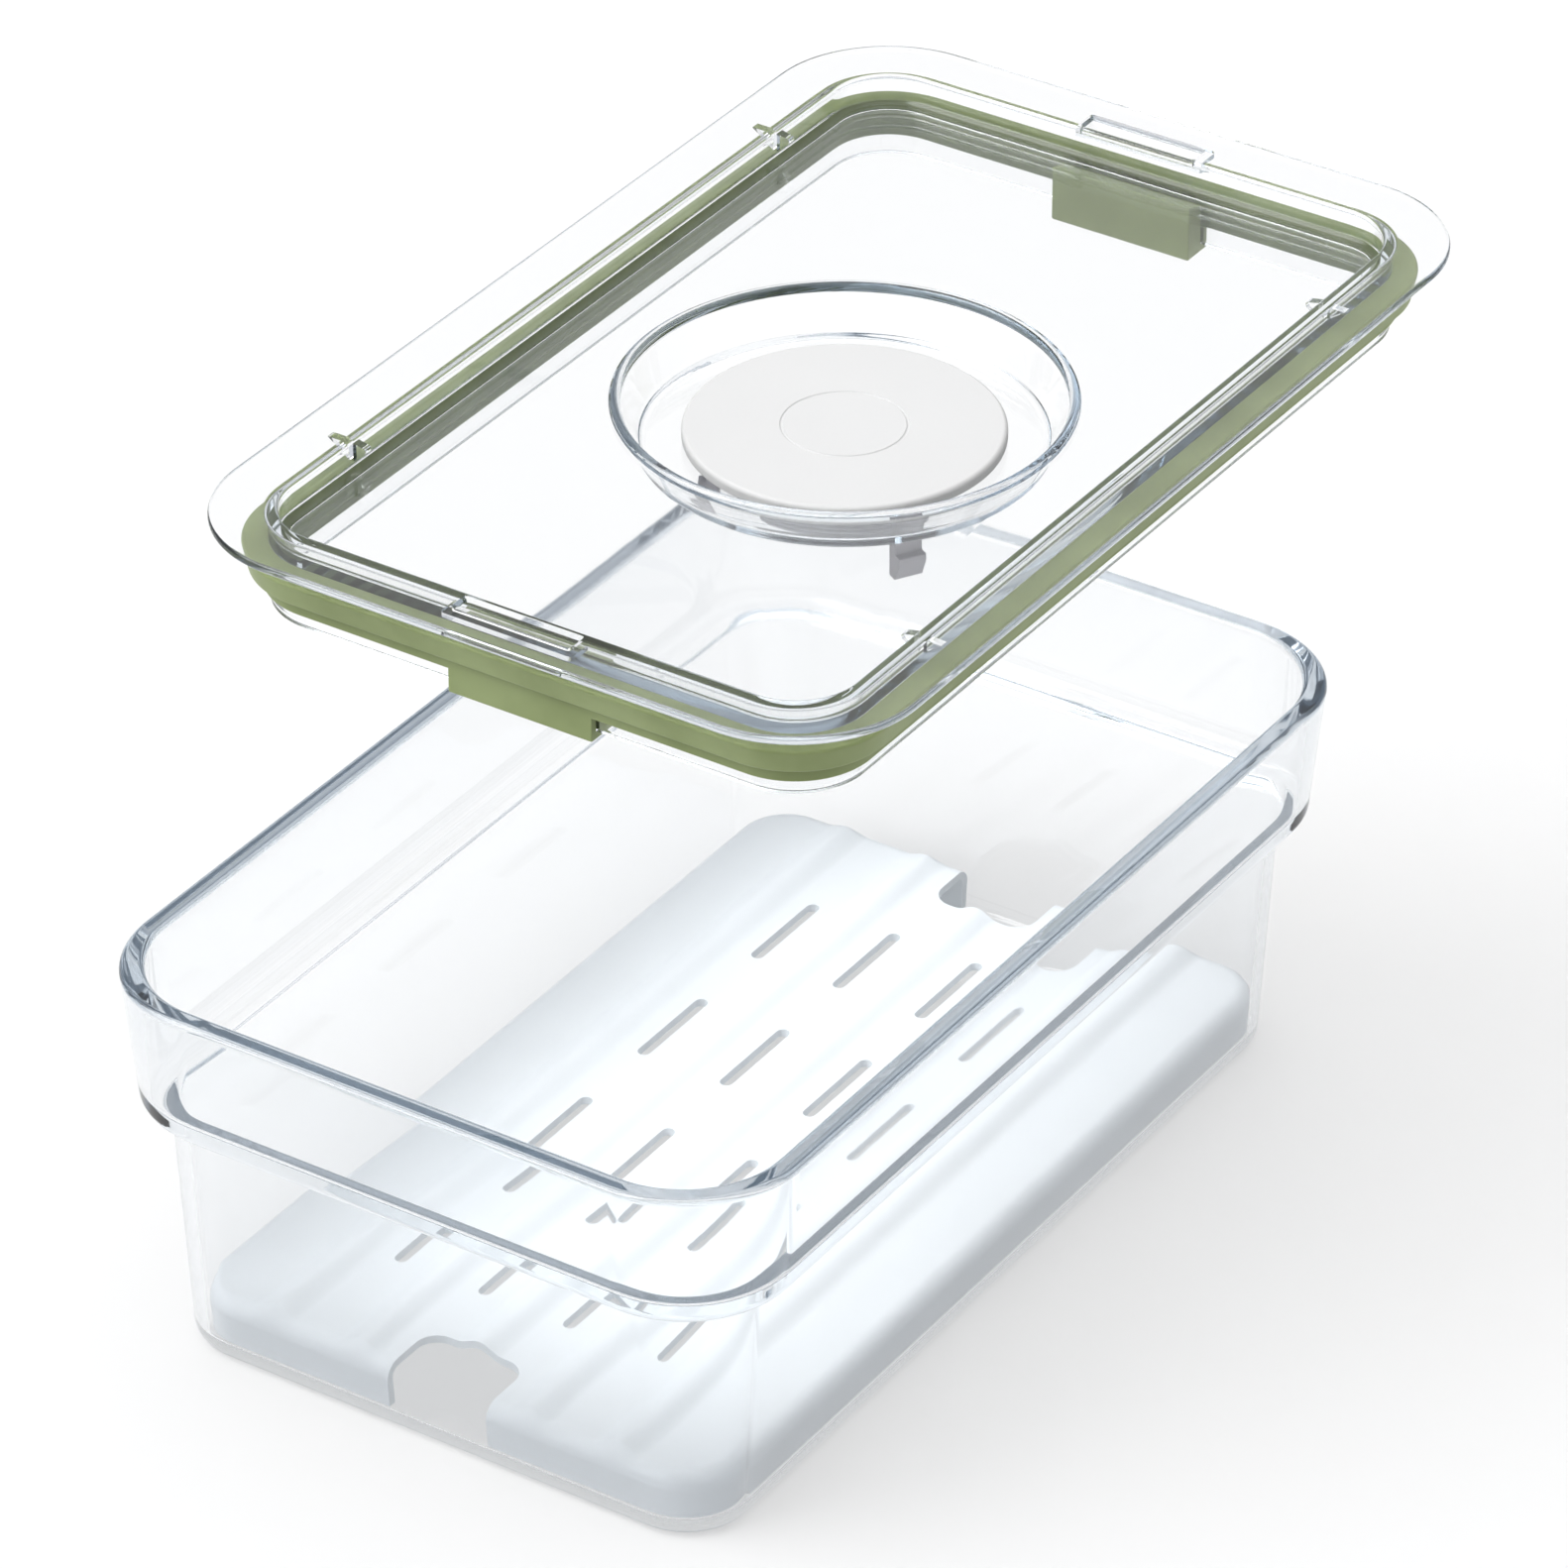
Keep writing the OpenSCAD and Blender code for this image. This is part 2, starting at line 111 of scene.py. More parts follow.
class FridgeBinSizes(bpy.types.PropertyGroup):
    rim_w: length("Rim width", "Outside width at the rim", frame_size("bin").x / MM)
    rim_l: length("Rim length", "Outside length at the rim", frame_size("bin").y / MM)
    bin_h: length("Bin height", "Height of the bin", frame_size("bin").z / MM)
    rim_r: length("Corner", "Corner radius of the rim and the lid", 22)
    rim_wall: length("Rim wall", "Wall thickness at the rim", 4.3)
    collar_wall: length("Collar wall", "Wall thickness just above the step", 2.6)
    body_wall: length("Body wall", "Wall thickness below the step", 2.2)
    step_z: length("Step height", "Height of the step inside the collar", 50.6)
    collar_lean: length("Collar lean", "How far the collar leans in down to the step", 2.2)
    body_in: length("Body inset", "How far the body stands in under the step", 7.4)
    body_lean: length("Body lean", "How far the body leans in down to the foot", 2.3)
    floor_t: length("Floor", "Thickness of the floor", 2.6)
    foot_fillet: length("Foot radius", "Outside radius where wall meets floor", 3.2)
    tray_h: length("Tray height", "Height of the tray's plate above the floor", 8.6)
    tray_t: length("Tray wall", "Thickness of the tray", 1.5)
    tray_gap: length("Tray gap", "Gap between the tray and the wall", 0.9)
    ridge_pitch: length("Ridge pitch", "Distance between the tray's ridges", 17)
    ridge_h: length("Ridge height", "Height of a ridge above the plate", 1.5)
    notch_w: length("Notch width", "Width of the finger notch", 19.6)
    notch_d: length("Notch depth", "Depth of the finger notch", 12)
    flange_t: length("Flange", "Thickness of the lid's flange", 1.5)
    flange_w: length("Flange width", "From the flange's edge to the recess", 11.1)
    recess_d: length("Recess depth", "Depth of the lid's recess", 5.3)
    cove_r: length("Cove radius", "Radius of the cove between the recess's wall and the panel", 1.8)
    panel_t: length("Panel", "Thickness of the lid's panel", 1.8)
    plug_d: length("Plug depth", "Depth of the plug below the flange's top", 16.2)
    plug_t: length("Plug wall", "Thickness of the plug's wall", 2)
    fin_y: length("Fin distance", "Distance of the small fins from the middle of the lid", 61.5)
    fin_t: length("Fin", "Thickness of a fin", 1.6)
    pocket_w: length("Pocket width", "Width of the pocket in each end of the flange", 22.4)
    pocket_d: length("Pocket depth", "Depth of the pocket", 1.3)
    dish_r: length("Dish radius", "Outside radius of the dish at the panel", 38)
    dish_foot_r: length("Dish foot radius", "Outside radius of the dish at its floor", 34.4)
    dish_d: length("Dish depth", "Depth of the dish's underside", 14.6)
    dish_t: length("Dish wall", "Wall thickness of the dish", 1.7)
    cap_r: length("Cap radius", "Radius of the vent cap", 26.5)
    cap_t: length("Cap thickness", "Thickness of the vent cap", 2.1)
    stem_r: length("Stem radius", "Radius of the stem over its sealing rings", 13)
    leg_in: length("Leg inset", "Distance of the legs' middle in from the cap's edge", 5)
    leg_w: length("Leg width", "Width of a leg", 4.8)
    vent_lift: length("Vent travel", "How far the vent pulls up", 8.5)
    lip_gap: length("Lip gap", "Gap between the gasket's lip and the wall", 0.7)
    lip_d: length("Lip depth", "Depth of the gasket's lip", 5.8)
    gasket_d: length("Gasket depth", "Depth of the gasket's lower edge", 13.2)
    band_t: length("Band", "Thickness of the gasket's band", 1.2)
    clip_w: length("Clip width", "Width of the gasket's clips", 27)


class FridgeBinColours(bpy.types.PropertyGroup):
    clear: colour("Clear plastic", "Tint of the clear surface", "#FFFFFF")
    clear_depth: colour("Clear plastic depth", "Tint that thick clear plastic takes", "#A9BCCB")
    tray: colour("Tray", "Milky plastic of the tray", "#F6FBFF")
    gasket: colour("Gasket", "Green silicone, in light", "#838F60")
    gasket_dark: colour("Gasket shade", "Green silicone, in its darker patches", "#768252")
    cap: colour("Vent cap", "Off-white plastic of the cap", "#B8B8B8")
    stem: colour("Vent stem", "Pale grey plastic of the stem", "#B9B8BE")
    seal: colour("Vent seal", "Pale grey silicone of the sleeve", "#ACABB2")
    floor: colour("Floor", "Pale studio floor", "#959595")


def in_mm(sizes):
    """The sizes as plain numbers in millimetres, with those that follow from them."""
    s = SimpleNamespace(**{k: getattr(sizes, k) / MM for k in FridgeBinSizes.__annotations__})
    s.middle = s.rim_r - 0.6           # a sweep ends here, just short of its corners' centres
    s.body_top = s.step_z - STEP_T
    s.foot_x = s.body_in + s.body_lean
    s.wall_slope = s.body_lean / (s.body_top - s.foot_fillet)
    s.tray_foot_z = s.floor_t + REST_GAP
    s.tray_top_z = s.floor_t + s.tray_h
    s.tray_x = s.foot_x + s.body_wall + s.tray_gap
    s.tray_head_x = s.tray_x - s.wall_slope * s.tray_h
    s.plug_x = s.flange_w - RECESS_WALL
    s.under_z = -s.recess_d - s.panel_t
    s.dish_floor_z = DISH_FLOOR_T - s.dish_d
    s.cap_foot_z = s.dish_floor_z + REST_GAP
    s.cap_top_z = s.cap_foot_z + s.cap_t
    s.hub_r = s.stem_r - RING_OUT - SLEEVE_T - FIT_GAP
    s.leg_r = s.cap_r - s.leg_in
    s.lip_x = s.rim_wall + 0.15 + s.lip_gap      # 0.15 allows for the collar's lean below the rim
    s.band_x = s.plug_x + SEAL_BITE
    return s


# ---- Mesh building, in millimetres


def arc(x, z, r, start, end, steps=8):
    angles = [math.radians(start + (end - start) * i / steps) for i in range(steps + 1)]
    return [(x + r * math.cos(a), z + r * math.sin(a)) for a in angles]


def rounded(points, radius, steps=3):
    """A closed outline with each corner rounded by up to that radius."""
    out, n = [], len(points)
    for i, p in enumerate(points):
        p, a, b = Vector(p), Vector(points[i - 1]), Vector(points[(i + 1) % n])
        to_a, to_b = a - p, b - p
        r = min(radius, to_a.length * 0.45, to_b.length * 0.45)
        start, end = p + to_a.normalized() * r, p + to_b.normalized() * r
        for k in range(steps + 1):
            t = k / steps
            out.append(tuple(start * (1 - t) ** 2 + p * 2 * t * (1 - t) + end * t * t))
    return out


def join_rings(bm, rings, closed=False):
    pairs = list(zip(rings, rings[1:])) + ([(rings[-1], rings[0])] if closed else [])
    for a, b in pairs:
        n = len(a)
        for i in range(n):
            j = (i + 1) % n
            bm.faces.new((a[i], a[j], b[j], b[i]))
    return rings


def sweep(bm, profile, w, l, r, xs=(), ys=(), closed=False):
    """Sweeps a profile of (inset, height) round a rounded rectangle. xs and ys add points on its sides."""
    cx, cy = w / 2 - r, l / 2 - r
    rings = []
    for inset, z in profile:
        reach = r - inset
        quarters = (
            (cx, cy, [(x, cy + reach) for x in reversed(xs)]),
            (-cx, cy, [(-cx - reach, y) for y in reversed(ys)]),
            (-cx, -cy, [(x, -cy - reach) for x in xs]),
            (cx, -cy, [(cx + reach, y) for y in ys]))
        ring = []
        for i, (x0, y0, side) in enumerate(quarters):
            corner = arc(x0, y0, reach, 90 * i, 90 * i + 90, CORNER_STEPS)
            ring += [bm.verts.new((x, y, z)) for x, y in corner + side]
        rings.append(ring)
    return join_rings(bm, rings, closed)


def revolve(bm, profile, steps=ROUND_STEPS, closed=False):
    """Turns a profile of (radius, height) about Z."""
    rings = []
    for r, z in profile:
        angles = [2 * math.pi * i / steps for i in range(steps)]
        rings.append([bm.verts.new((r * math.cos(a), r * math.sin(a), z)) for a in angles])
    return join_rings(bm, rings, closed)


def fill(bm, *rings):
    """Closes the flat area between rings of points, or inside a single one."""
    edges = []
    for ring in rings:
        for a, b in zip(ring, ring[1:] + ring[:1]):
            edges.append(bm.edges.get((a, b)) or bm.edges.new((a, b)))
    bmesh.ops.triangle_fill(bm, edges=edges, use_beauty=True)


def prism(bm, points, low, high, matrix=Matrix()):
    """A closed prism over a flat outline, from low to high, then placed by a matrix."""
    rings = [[bm.verts.new(matrix @ Vector((x, y, z))) for x, y in points] for z in (low, high)]
    join_rings(bm, rings)
    for ring in rings:
        bm.faces.new(ring)


def box(bm, x0, x1, y0, y1, z0, z1, matrix=Matrix()):
    prism(bm, ((x0, y0), (x1, y0), (x1, y1), (x0, y1)), z0, z1, matrix)


def turned(angle):
    return Matrix.Rotation(math.radians(angle), 4, "Z")


def tidy(bm):
    bmesh.ops.remove_doubles(bm, verts=bm.verts, dist=1e-4)
    bmesh.ops.dissolve_degenerate(bm, edges=bm.edges, dist=1e-5)
    bmesh.ops.recalc_face_normals(bm, faces=bm.faces)


def to_object(name, bm):
    """The finished mesh as an object, in metres."""
    tidy(bm)
    bm.transform(Matrix.Scale(MM, 4))
    mesh = bpy.data.meshes.new(name)
    bm.to_mesh(mesh)
    bm.free()
    obj = bpy.data.objects.new(name, mesh)
    bpy.context.scene.collection.objects.link(obj)
    return obj


def apply_boolean(obj, operation, tool_bm):
    tool = to_object(obj.name + "_tool", tool_bm)
    mod = obj.modifiers.new("Boolean", "BOOLEAN")
    mod.operation, mod.object, mod.solver = operation, tool, "EXACT"
    bpy.context.view_layer.update()
    result = bpy.data.meshes.new_from_object(obj.evaluated_get(bpy.context.evaluated_depsgraph_get()))
    old, obj.data = obj.data, result
    obj.modifiers.remove(mod)
    bpy.data.meshes.remove(old)
    bpy.data.objects.remove(tool)
    if not result.polygons:
        raise RuntimeError(f"{obj.name}: nothing is left after a cut")


def finish_piece(obj, node, body, material, at=Vector()):
    """Places a piece, shades it smoothly, and has it ride on its body in place of its CAD node."""
    obj.data.transform(Matrix.Translation(at))
    obj.data.materials.clear()
    obj.data.materials.append(material)
    obj.data.shade_smooth()
    obj.data.set_sharp_from_angle(angle=SHARP_ANGLE)
    mod = obj.modifiers.new("Weighted Normal", "WEIGHTED_NORMAL")
    mod.keep_sharp = True
    mod.weight = 80
    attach(obj, body)
    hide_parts(node)


# ---- Materials


def add(tree, kind, settings=None, links=None):
    """Adds a node, sets its sockets and options, and links sources to its inputs."""
    node = tree.nodes.new(kind)
    for key, value in (settings or {}).items():
        if isinstance(key, int) or key in node.inputs:
            node.inputs[key].default_value = value
        else:
            setattr(node, key, value)
    for key, source in (links or {}).items():
        tree.links.new(source, node.inputs[key])
    return node


def new_material(name):
    material = bpy.data.materials.new(name)
    material.use_nodes = True
    material.node_tree.nodes.clear()
    return material, material.node_tree


def per_size(mm):
    """Scale of a noise or cell texture whose features are that many millimetres across."""
    return 1 / (mm * MM)


def clear_styrene(name, colours, tint):
    """Clear SAN, injection-moulded in a polished tool: flat gloss, faint flow waviness, and blue-grey
    where light runs a long way through it, as at a rim or a corner."""
    material, tree = new_material(name)
    place = add(tree, "ShaderNodeTexCoord").outputs["Object"]
    flow = add(tree, "ShaderNodeTexNoise", {"Scale": per_size(22), "Detail": 2.0}, {"Vector": place})
    haze = add(tree, "ShaderNodeTexNoise", {"Scale": per_size(1.6), "Detail": 3.0}, {"Vector": place})
    rough = add(tree, "ShaderNodeMapRange", {"To Min": 0.012, "To Max": 0.035},
                {"Value": haze.outputs["Fac"]})
    waves = add(tree, "ShaderNodeBump", {"Strength": 0.25, "Distance": 0.05 * MM},
                {"Height": flow.outputs["Fac"]})
    shader = add(tree, "ShaderNodeBsdfPrincipled", {
        "Base Color": (*tint, 1), "Transmission Weight": 1.0, "IOR": 1.45, "Specular IOR Level": 0.5,
    }, {"Roughness": rough.outputs["Result"], "Normal": waves.outputs["Normal"]})
    depth = add(tree, "ShaderNodeVolumeAbsorption", {"Color": (*colours.clear_depth, 1), "Density": 26.0})
    add(tree, "ShaderNodeOutputMaterial", links={
        "Surface": shader.outputs["BSDF"], "Volume": depth.outputs["Volume"]})
    return material


def milky_styrene(name, base):
    """Milky SAN, moulded in a fine-blasted tool: light passes softly, and the face has a satin grain."""
    material, tree = new_material(name)
    place = add(tree, "ShaderNodeTexCoord").outputs["Object"]
    cloud = add(tree, "ShaderNodeTexNoise", {"Scale": per_size(30), "Detail": 2.0}, {"Vector": place})
    shade = add(tree, "ShaderNodeMix",
                {"data_type": "RGBA", "A": (*base, 1), "B": (*[c * 0.93 for c in base], 1)},
                {"Factor": cloud.outputs["Fac"]})
    # blasting grit is near 0.1 mm; drawn at 0.35 mm so that it shows
    grain = add(tree, "ShaderNodeTexNoise", {"Scale": per_size(0.35), "Detail": 2.0}, {"Vector": place})
    bump = add(tree, "ShaderNodeBump", {"Strength": 0.12, "Distance": 0.05 * MM},
               {"Height": grain.outputs["Fac"]})
    rough = add(tree, "ShaderNodeMapRange", {"To Min": 0.28, "To Max": 0.42},
                {"Value": grain.outputs["Fac"]})
    shader = add(tree, "ShaderNodeBsdfPrincipled", {
        "Transmission Weight": 0.1, "IOR": 1.5,
    }, {"Base Color": shade.outputs["Result"], "Roughness": rough.outputs["Result"],
        "Normal": bump.outputs["Normal"]})
    add(tree, "ShaderNodeOutputMaterial", links={"Surface": shader.outputs["BSDF"]})
    return material


def moulded_silicone(name, light, dark):
    """Silicone rubber, compression-moulded: soft satin skin, a light bloom of dust and release agent,
    and slow changes of tone where the section is thin or thick."""
    material, tree = new_material(name)
    place = add(tree, "ShaderNodeTexCoord").outputs["Object"]
    cloud = add(tree, "ShaderNodeTexNoise", {"Scale": per_size(14), "Detail": 3.0}, {"Vector": place})
    spread = add(tree, "ShaderNodeMapRange", {"From Min": 0.35, "From Max": 0.65},
                 {"Value": cloud.outputs["Fac"]})
    shade = add(tree, "ShaderNodeMix", {"data_type": "RGBA", "A": (*light, 1), "B": (*dark, 1)},
                {"Factor": spread.outputs["Result"]})
    # the skin's grain is under 0.1 mm; drawn at 0.3 mm so that it shows
    grain = add(tree, "ShaderNodeTexNoise", {"Scale": per_size(0.3), "Detail": 2.0}, {"Vector": place})
    bump = add(tree, "ShaderNodeBump", {"Strength": 0.15, "Distance": 0.05 * MM},
               {"Height": grain.outputs["Fac"]})
    rough = add(tree, "ShaderNodeMapRange", {"To Min": 0.42, "To Max": 0.58},
                {"Value": grain.outputs["Fac"]})
    shader = add(tree, "ShaderNodeBsdfPrincipled", {
        "IOR": 1.41, "Sheen Weight": 0.08, "Sheen Roughness": 0.5, "Subsurface Weight": 0.15,
        "Subsurface Radius": (1.0, 1.0, 0.5), "Subsurface Scale": 1.2 * MM,
    }, {"Base Color": shade.outputs["Result"], "Roughness": rough.outputs["Result"],
        "Normal": bump.outputs["Normal"]})
    add(tree, "ShaderNodeOutputMaterial", links={"Surface": shader.outputs["BSDF"]})
    return material


def moulded_polypropylene(name, base, transmission):
    """Polypropylene, moulded in a spark-eroded tool: a matte face with a fine pebble grain."""
    material, tree = new_material(name)
    place = add(tree, "ShaderNodeTexCoord").outputs["Object"]
    cloud = add(tree, "ShaderNodeTexNoise", {"Scale": per_size(18), "Detail": 2.0}, {"Vector": place})
    shade = add(tree, "ShaderNodeMix",
                {"data_type": "RGBA", "A": (*base, 1), "B": (*[c * 0.955 for c in base], 1)},
                {"Factor": cloud.outputs["Fac"]})
    # spark-eroded pebbles are 0.1 to 0.2 mm; drawn at 0.4 mm so that they show
    grain = add(tree, "ShaderNodeTexVoronoi", {"Scale": per_size(0.4), "feature": "SMOOTH_F1"},
                {"Vector": place})
    bump = add(tree, "ShaderNodeBump", {"Strength": 0.2, "Distance": 0.04 * MM},
               {"Height": grain.outputs["Distance"]})
    rough = add(tree, "ShaderNodeMapRange", {"To Min": 0.45, "To Max": 0.6},
                {"Value": grain.outputs["Distance"]})
    shader = add(tree, "ShaderNodeBsdfPrincipled", {
        "IOR": 1.49, "Transmission Weight": transmission,
    }, {"Base Color": shade.outputs["Result"], "Roughness": rough.outputs["Result"],
        "Normal": bump.outputs["Normal"]})
    add(tree, "ShaderNodeOutputMaterial", links={"Surface": shader.outputs["BSDF"]})
    return material


def acrylic_light_table(base):
    """Opal acrylic sheet, cast and rubbed matte, lit a little from below: a faint stipple and no gloss."""
    material, tree = new_material("Acrylic light table")
    place = add(tree, "ShaderNodeTexCoord").outputs["Object"]
    stipple = add(tree, "ShaderNodeTexNoise", {"Scale": per_size(3), "Detail": 2.0}, {"Vector": place})
    bump = add(tree, "ShaderNodeBump", {"Strength": 0.02, "Distance": 0.1 * MM},
               {"Height": stipple.outputs["Fac"]})
    shader = add(tree, "ShaderNodeBsdfPrincipled", {
        "Base Color": (*base, 1), "Roughness": 0.9, "Specular IOR Level": 0.1,
        "Emission Color": (1, 1, 1, 1), "Emission Strength": 0.5}, {"Normal": bump.outputs["Normal"]})
    add(tree, "ShaderNodeOutputMaterial", links={"Surface": shader.outputs["BSDF"]})
    return material


# ---- Bin


class FRIDGEBIN_OT_bin(bpy.types.Operator):
    """Builds the clear bin with its collar, step and rounded rim"""
    bl_idname = "fridge_bin.build_bin"
    bl_label = "Bin"

    RIM_ROUND = 1.2            # the rim's two edges
    COLLAR_ROUND = 2.6         # under the collar
    COLLAR_COVE = 1.0          # between the collar's underside and the body
    STEP_ROUND = 1.4           # the step's inner edge
    STEP_COVE = 1.5            # between the step and the collar's inside

    def execute(self, context):
        s, c = in_mm(context.scene.fridge_bin_sizes), context.scene.fridge_bin_colours
        collar_x, body_x = s.collar_lean + s.collar_wall, s.body_in + s.body_wall
        rim, collar, under = self.RIM_ROUND, self.COLLAR_ROUND, self.COLLAR_COVE
        edge, cove = self.STEP_ROUND, self.STEP_COVE
        fillet = s.tray_gap + 0.1      # clear of the tray's foot
        profile = (
            [(s.middle, s.floor_t)]
            + arc(s.foot_x + s.body_wall + fillet, s.floor_t + fillet, fillet, 270, 180)
            + arc(body_x - edge, s.step_z - edge, edge, 0, 90)
            + arc(collar_x + cove, s.step_z + cove, cove, 270, 180)
            + arc(s.rim_wall - rim, s.bin_h - rim, rim, 0, 90)
            + arc(rim, s.bin_h - rim, rim, 90, 180)
            + arc(s.collar_lean + collar, s.body_top + collar, collar, 180, 270)
            + arc(s.body_in - under, s.body_top - under, under, 90, 0, 5)
            + arc(s.foot_x + s.foot_fillet, s.foot_fillet, s.foot_fillet, 180, 270)
            + [(s.middle, 0)])
        bm = bmesh.new()
        rings = sweep(bm, profile, s.rim_w, s.rim_l, s.rim_r)
        bm.faces.new(rings[0])
        bm.faces.new(rings[-1])
        obj = to_object("bin_clear", bm)
        finish_piece(obj, "bin", "bin", clear_styrene("Clear SAN, moulded, bin", c, c.clear))
        return {"FINISHED"}


# ---- Drain tray


class FRIDGEBIN_OT_tray(bpy.types.Operator):
    """Builds the milky drain tray: ridged sheet, skirt, drain slots and finger notches"""
    bl_idname = "fridge_bin.build_tray"
    bl_label = "Drain tray"

    RIDGES = (-2, -1, 0, 1, 2)
    VALLEYS = (-1.5, -0.5, 0.5, 1.5)         # in ridge pitches from the middle
    SHOULDER = 3.0
    SHOULDER_STEPS = 8
    RIDGE_HALF = 4.6
    RIDGE_STEPS = 6
    NOTCH_ROUND = 4
    SLOT_HALF = 8.8            # half the length of a drain slot's straight sides
    SLOT_R = 1.2
    SLOT_ROWS = (-1.5, -0.5, 0.5, 1.5)       # in row pitches from the middle
    END_BAND = 10              # plain length that the rows of slots leave at the ends

    def wave(self, s, x):
        """Height of the sheet's wave across its width: a rounded ridge at each pitch."""
        off = min(abs(x - i * s.ridge_pitch) for i in self.RIDGES)
        return s.ridge_h * 0.5 * (1 + math.cos(math.pi * min(off / self.RIDGE_HALF, 1)))

    def sheet(self, bm, s, profile, xs, ys, up):
        """One face of the sheet: skirt, shoulder and waved plate. up is each ring's share of a ridge."""
        rings = sweep(bm, profile, s.rim_w, s.rim_l, s.rim_r, xs, ys)
        cx, cy = s.rim_w / 2 - s.rim_r, s.rim_l / 2 - s.rim_r
        z = profile[-1][1]
        grid = [[bm.verts.new((x, y, z)) for x in (-cx, *xs, cx)] for y in (-cy, *ys, cy)]
        for low, high in zip(grid, grid[1:]):
            for i in range(len(low) - 1):
                bm.faces.new((low[i], low[i + 1], high[i + 1], high[i]))
        for ring, rise in zip(rings, up):
            for v in ring:
                if abs(v.co.x) < cx:
                    v.co.z += rise * self.wave(s, v.co.x)
        for row in grid:
            for v in row:
                v.co.z += self.wave(s, v.co.x)
        return rings

    def execute(self, context):
        s, c = in_mm(context.scene.fridge_bin_sizes), context.scene.fridge_bin_colours
        cx, cy = s.rim_w / 2 - s.rim_r, s.rim_l / 2 - s.rim_r
        across = [k * self.RIDGE_HALF / self.RIDGE_STEPS
                  for k in range(-self.RIDGE_STEPS, self.RIDGE_STEPS + 1)]
        xs = sorted({round(i * s.ridge_pitch + dx, 4) for i in self.RIDGES for dx in across})
        ys = [cy * k / 4 for k in range(-3, 4)]
        x, z = s.tray_head_x + self.SHOULDER, s.tray_top_z - self.SHOULDER
        faces = []
        rise = [(k / self.SHOULDER_STEPS) ** 1.5 for k in range(self.SHOULDER_STEPS + 1)]
        bm = bmesh.new()
        for depth in (0, s.tray_t):
            profile = ([(s.tray_x + depth, s.tray_foot_z)]
                       + arc(x, z, self.SHOULDER - depth, 180, 90, self.SHOULDER_STEPS)
                       + [(x + self.SHOULDER, s.tray_top_z - depth), (s.rim_r, s.tray_top_z - depth)])
            faces.append(self.sheet(bm, s, profile, xs, ys, [0, *rise, 1, 1]))
        top, under = faces
        join_rings(bm, [top[0], under[0]])
        obj = to_object("drain_tray_sheet", bm)
        cut = bmesh.new()
        low, high = -1, s.tray_top_z + 9       # the cuts run well past the sheet
        back, half, bend = s.rim_l / 2 - s.tray_x - s.notch_d, s.notch_w / 2, self.NOTCH_ROUND
        past = back + 30
        notch = ([(half, past), (-half, past)] + arc(bend - half, back + bend, bend, 180, 270)
                 + arc(half - bend, back + bend, bend, 270, 360))
        for angle in ENDS:
            prism(cut, notch, low, high, turned(angle))
        pitch = (s.rim_l - 2 * s.tray_x - 2 * s.notch_d - self.END_BAND) / len(self.SLOT_ROWS)
        slot = (arc(0, self.SLOT_HALF, self.SLOT_R, 0, 180)
                + arc(0, -self.SLOT_HALF, self.SLOT_R, 180, 360))
        for i in self.VALLEYS:
            for j in self.SLOT_ROWS:
                prism(cut, [(x + i * s.ridge_pitch, y + j * pitch) for x, y in slot], low, high)
        apply_boolean(obj, "DIFFERENCE", cut)
        finish_piece(obj, "drain_tray", "tray", milky_styrene("Milky SAN, moulded", c.tray))
        return {"FINISHED"}


# ---- Lid


